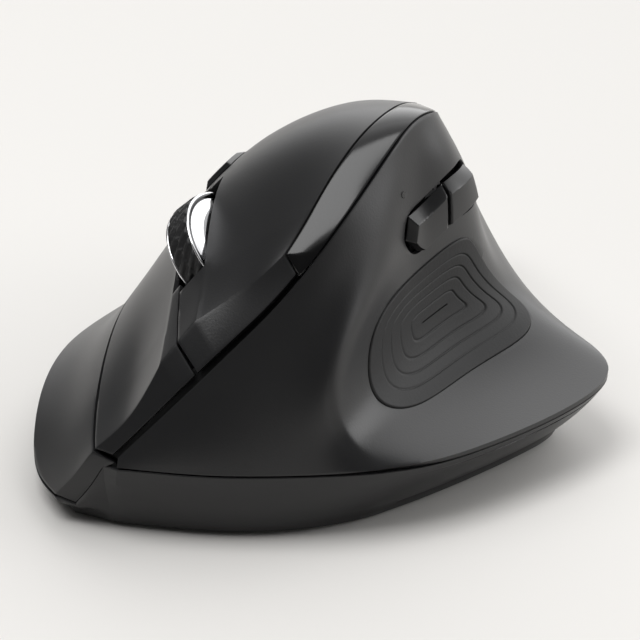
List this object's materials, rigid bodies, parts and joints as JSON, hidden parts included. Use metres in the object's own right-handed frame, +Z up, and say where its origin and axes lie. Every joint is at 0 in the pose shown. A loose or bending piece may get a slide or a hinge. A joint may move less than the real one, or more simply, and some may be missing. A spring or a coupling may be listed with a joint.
{
  "type": "vertical computer mouse",
  "caption": "Right-hand vertical computer mouse with thumb scoop and flange, two sprung main buttons, scroll wheel, side buttons, thumb pad and sliding battery door.",
  "frame": {"origin": "middle of the bounding box on the table, under the slide feet", "axes": "+Z up, -Y toward the nose (front), +X toward the thumb side"},
  "size_m": [0.0898, 0.1164, 0.0618],
  "materials": {
    "soft_touch_shell": "soft-touch matte",
    "base_black": "fine matte",
    "gloss_black": "high gloss",
    "satin_button": "satin",
    "pad_rubber": "matte rubber",
    "tyre_rubber": "ribbed rubber",
    "rim_chrome": "polished",
    "frame_plastic": "moulded",
    "pin_steel": "turned",
    "contact_metal": "plated spring steel",
    "board_green": "epoxy board with solder mask",
    "part_black": "moulded",
    "lens_clear": "clear",
    "light_clear": "clear light pipe",
    "cell_wrap": "plain wrap",
    "foot_slick": "low-friction",
    "slider_grey": "moulded"
  },
  "bodies": {
    "housing": {"base_plate": "base_black", "base_skirt": "soft_touch_shell", "slide_feet": "foot_slick", "base_screws": "pin_steel", "battery_cradle": "frame_plastic", "battery_cell": "cell_wrap", "front_contact": "contact_metal", "rear_contact": "contact_metal", "main_board": "board_green", "optical_sensor": "part_black", "sensor_lens": "lens_clear", "power_switch": "part_black", "chassis": "frame_plastic", "finger_board": "board_green", "left_click_switch": "part_black", "right_click_switch": "part_black", "middle_switch": "part_black", "rear_switch": "part_black", "left_hinge_pin": "pin_steel", "right_hinge_pin": "pin_steel", "thumb_shell": "soft_touch_shell", "palm_shell": "soft_touch_shell", "spine_strip": "gloss_black", "thumb_pad": "pad_rubber", "status_light": "light_clear", "side_board": "board_green", "side_posts": "frame_plastic", "side_switches": "part_black"},
    "left_button": {"left_button": "soft_touch_shell", "left_lever": "frame_plastic"},
    "right_button": {"right_button": "soft_touch_shell", "right_lever": "frame_plastic"},
    "wheel_carrier": {"wheel_carrier": "frame_plastic", "wheel_encoder": "part_black"},
    "wheel": {"wheel_axle": "pin_steel", "wheel_hub": "frame_plastic", "wheel_tyre": "tyre_rubber", "wheel_rims": "rim_chrome"},
    "rear_button": {"rear_button": "satin_button"},
    "forward_button": {"forward_button": "satin_button"},
    "back_button": {"back_button": "satin_button"},
    "battery_door": {"battery_door": "base_black"},
    "power_slider": {"power_slider": "slider_grey"}
  },
  "joints": [
    {"name": "left_button_press", "type": "hinge", "parent": "housing", "child": "left_button", "pos_m": [-0.01564, -0.00153, 0.03467], "axis": [0.7147, 0.1037, 0.6917], "range_deg": [0, 0.8], "stiffness_Nm_per_rad": 1.2, "springref_deg": -0.57},
    {"name": "right_button_press", "type": "hinge", "parent": "housing", "child": "right_button", "pos_m": [-0.01564, -0.00153, 0.03467], "axis": [0.7147, 0.1037, 0.6917], "range_deg": [0, 0.8], "stiffness_Nm_per_rad": 1.2, "springref_deg": -0.57},
    {"name": "wheel_press", "type": "slide", "parent": "housing", "child": "wheel_carrier", "axis": [0.6142, 0.38, -0.6917], "range_m": [0, 0.0006], "stiffness_N_per_m": 800, "springref_m": -0.0008},
    {"name": "wheel_spin", "type": "hinge", "parent": "wheel_carrier", "child": "wheel", "pos_m": [-0.01316, -0.0197, 0.03483], "axis": [0.7147, 0.1037, 0.6917], "continuous": true},
    {"name": "rear_button_press", "type": "slide", "parent": "housing", "child": "rear_button", "axis": [0.6142, 0.38, -0.6917], "range_m": [0, 0.0006], "stiffness_N_per_m": 600, "springref_m": -0.0008},
    {"name": "forward_button_press", "type": "slide", "parent": "housing", "child": "forward_button", "axis": [-0.9928, 0.1019, -0.0634], "range_m": [0, 0.0006], "stiffness_N_per_m": 600, "springref_m": -0.0008},
    {"name": "back_button_press", "type": "slide", "parent": "housing", "child": "back_button", "axis": [-0.9928, 0.1019, -0.0634], "range_m": [0, 0.0006], "stiffness_N_per_m": 600, "springref_m": -0.0008},
    {"name": "battery_door_slide", "type": "slide", "parent": "housing", "child": "battery_door", "axis": [0, 1, 0], "range_m": [0, 0.045]},
    {"name": "power_slide", "type": "slide", "parent": "housing", "child": "power_slider", "axis": [0, 1, 0], "range_m": [0, 0.003]}
  ]
}
